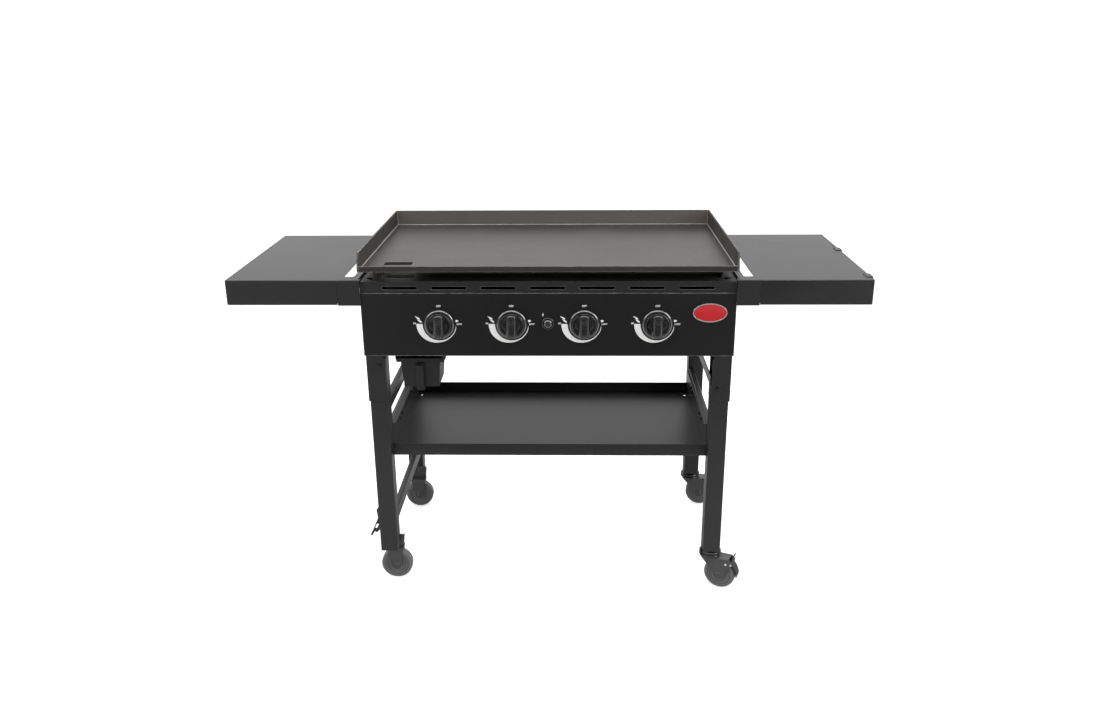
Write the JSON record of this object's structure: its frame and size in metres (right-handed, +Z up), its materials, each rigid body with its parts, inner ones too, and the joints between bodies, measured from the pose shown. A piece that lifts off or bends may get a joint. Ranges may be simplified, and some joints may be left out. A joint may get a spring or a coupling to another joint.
{
  "type": "gas griddle station",
  "caption": "Outdoor gas griddle on a wheeled black steel cart with side shelves, control knobs, a grease cup and a storage shelf between folding legs",
  "frame": {"origin": "on the floor, in the middle of the whole object's width and depth", "axes": "+X is the user's right, +Y points from the control panel to the back, +Z is up"},
  "size_m": [1.569, 0.567, 0.922],
  "materials": {
    "bare_steel": "bare rolled steel plate, oiled brown-black",
    "black_coat": "satin black powder coat",
    "plated_steel": "plated sheet and tube, dulled by heat",
    "caster_steel": "dark coated pressed steel",
    "bolt_steel": "zinc plated screws",
    "fitting_brass": "turned brass",
    "stem_alloy": "turned alloy stem",
    "bright_ring": "bright plated ring",
    "knob_plastic": "glossy black moulded plastic",
    "dark_plastic": "plain black plastic case",
    "red_enamel": "glossy red enamel with a bright rim",
    "black_rubber": "hard dark rubber",
    "pedal_plastic": "black moulded lever"
  },
  "bodies": {
    "cart": {"body_front": "black_coat", "body_sides": "black_coat", "body_back": "black_coat", "control_panel": "black_coat", "cup_rails": "black_coat", "shelf_arms": "black_coat", "left_sleeves": "black_coat", "right_sleeves": "black_coat", "left_legs": "black_coat", "right_legs": "black_coat", "left_rails": "black_coat", "right_rails": "black_coat", "bottom_shelf": "black_coat", "tank_hook": "black_coat", "body_pan": "plated_steel", "drain_chute": "plated_steel", "gas_manifold": "plated_steel", "burner_1": "plated_steel", "burner_2": "plated_steel", "burner_3": "plated_steel", "burner_4": "plated_steel", "front_fixed_fork": "caster_steel", "back_fixed_fork": "caster_steel", "front_caster_plate": "caster_steel", "back_caster_plate": "caster_steel", "frame_bolts": "bolt_steel", "gas_inlet": "fitting_brass", "bezels": "bright_ring", "igniter_collar": "bright_ring", "igniter_module": "dark_plastic", "badge_plate": "red_enamel"},
    "knob_stem_1_body": {"knob_stem_1": "stem_alloy"},
    "knob_stem_2_body": {"knob_stem_2": "stem_alloy"},
    "knob_stem_3_body": {"knob_stem_3": "stem_alloy"},
    "knob_stem_4_body": {"knob_stem_4": "stem_alloy"},
    "knob_1_body": {"knob_1": "knob_plastic"},
    "knob_2_body": {"knob_2": "knob_plastic"},
    "knob_3_body": {"knob_3": "knob_plastic"},
    "knob_4_body": {"knob_4": "knob_plastic"},
    "igniter": {"igniter_button": "knob_plastic"},
    "cup": {"grease_cup": "black_coat", "cup_handle": "black_coat"},
    "griddle": {"griddle_plate": "bare_steel", "griddle_back_wall": "bare_steel", "griddle_left_wall": "bare_steel", "griddle_right_wall": "bare_steel", "griddle_front_lip": "bare_steel", "griddle_apron": "bare_steel"},
    "left_side_shelf": {"left_shelf": "black_coat"},
    "right_side_shelf": {"right_shelf": "black_coat", "tool_strip": "black_coat"},
    "front_fixed_wheel_body": {"front_fixed_wheel": "black_rubber"},
    "front_caster": {"front_caster_fork": "caster_steel"},
    "front_caster_wheel_body": {"front_caster_wheel": "black_rubber"},
    "front_brake": {"front_brake_pedal": "pedal_plastic"},
    "back_fixed_wheel_body": {"back_fixed_wheel": "black_rubber"},
    "back_caster": {"back_caster_fork": "caster_steel"},
    "back_caster_wheel_body": {"back_caster_wheel": "black_rubber"},
    "back_brake": {"back_brake_pedal": "pedal_plastic"}
  },
  "joints": [
    {"name": "knob_1_turn", "type": "hinge", "parent": "cart", "child": "knob_stem_1_body", "pos_m": [-0.267, -0.2435, 0.74], "axis": [0, -1, 0], "range_deg": [0, 270]},
    {"name": "knob_1_push", "type": "slide", "parent": "knob_stem_1_body", "child": "knob_1_body", "axis": [0, 1, 0], "range_m": [0, 0.003], "stiffness_N_per_m": 900, "springref_m": -0.001},
    {"name": "knob_2_turn", "type": "hinge", "parent": "cart", "child": "knob_stem_2_body", "pos_m": [-0.089, -0.2435, 0.74], "axis": [0, -1, 0], "range_deg": [0, 270]},
    {"name": "knob_2_push", "type": "slide", "parent": "knob_stem_2_body", "child": "knob_2_body", "axis": [0, 1, 0], "range_m": [0, 0.003], "stiffness_N_per_m": 900, "springref_m": -0.001},
    {"name": "knob_3_turn", "type": "hinge", "parent": "cart", "child": "knob_stem_3_body", "pos_m": [0.089, -0.2435, 0.74], "axis": [0, -1, 0], "range_deg": [0, 270]},
    {"name": "knob_3_push", "type": "slide", "parent": "knob_stem_3_body", "child": "knob_3_body", "axis": [0, 1, 0], "range_m": [0, 0.003], "stiffness_N_per_m": 900, "springref_m": -0.001},
    {"name": "knob_4_turn", "type": "hinge", "parent": "cart", "child": "knob_stem_4_body", "pos_m": [0.267, -0.2435, 0.74], "axis": [0, -1, 0], "range_deg": [0, 270]},
    {"name": "knob_4_push", "type": "slide", "parent": "knob_stem_4_body", "child": "knob_4_body", "axis": [0, 1, 0], "range_m": [0, 0.003], "stiffness_N_per_m": 900, "springref_m": -0.001},
    {"name": "igniter_press", "type": "slide", "parent": "cart", "child": "igniter", "axis": [0, 1, 0], "range_m": [0, 0.005], "stiffness_N_per_m": 800, "springref_m": -0.001},
    {"name": "cup_pull", "type": "slide", "parent": "cart", "child": "cup", "axis": [0, -1, 0], "range_m": [0, 0.12]},
    {"name": "griddle_lift", "type": "slide", "parent": "cart", "child": "griddle", "axis": [0, 0, 1], "range_m": [0, 0.06]},
    {"name": "left_shelf_lift", "type": "slide", "parent": "cart", "child": "left_side_shelf", "axis": [0, 0, 1], "range_m": [0, 0.07]},
    {"name": "right_shelf_lift", "type": "slide", "parent": "cart", "child": "right_side_shelf", "axis": [0, 0, 1], "range_m": [0, 0.07]},
    {"name": "front_fixed_wheel_roll", "type": "hinge", "parent": "cart", "child": "front_fixed_wheel_body", "pos_m": [-0.42, -0.203, 0.042], "axis": [0, 1, 0], "continuous": true},
    {"name": "front_caster_swivel", "type": "hinge", "parent": "cart", "child": "front_caster", "pos_m": [0.4295, -0.231, 0.09], "axis": [0, 0, 1], "continuous": true},
    {"name": "front_caster_roll", "type": "hinge", "parent": "front_caster", "child": "front_caster_wheel_body", "pos_m": [0.45691, -0.2432, 0.042], "axis": [0.4067, 0.9135, 0], "continuous": true},
    {"name": "front_brake_press", "type": "hinge", "parent": "front_caster", "child": "front_brake", "pos_m": [0.4839, -0.25522, 0.07982], "axis": [0.4067, 0.9135, 0], "range_deg": [0, 4]},
    {"name": "back_fixed_wheel_roll", "type": "hinge", "parent": "cart", "child": "back_fixed_wheel_body", "pos_m": [-0.42, 0.21, 0.042], "axis": [0, 1, 0], "continuous": true},
    {"name": "back_caster_swivel", "type": "hinge", "parent": "cart", "child": "back_caster", "pos_m": [0.4295, 0.238, 0.09], "axis": [0, 0, 1], "continuous": true},
    {"name": "back_caster_roll", "type": "hinge", "parent": "back_caster", "child": "back_caster_wheel_body", "pos_m": [0.45913, 0.23331, 0.042], "axis": [0.1564, 0.9877, 0], "continuous": true},
    {"name": "back_brake_press", "type": "hinge", "parent": "back_caster", "child": "back_brake", "pos_m": [0.48832, 0.22868, 0.07982], "axis": [0.1564, 0.9877, 0], "range_deg": [0, 4]}
  ]
}
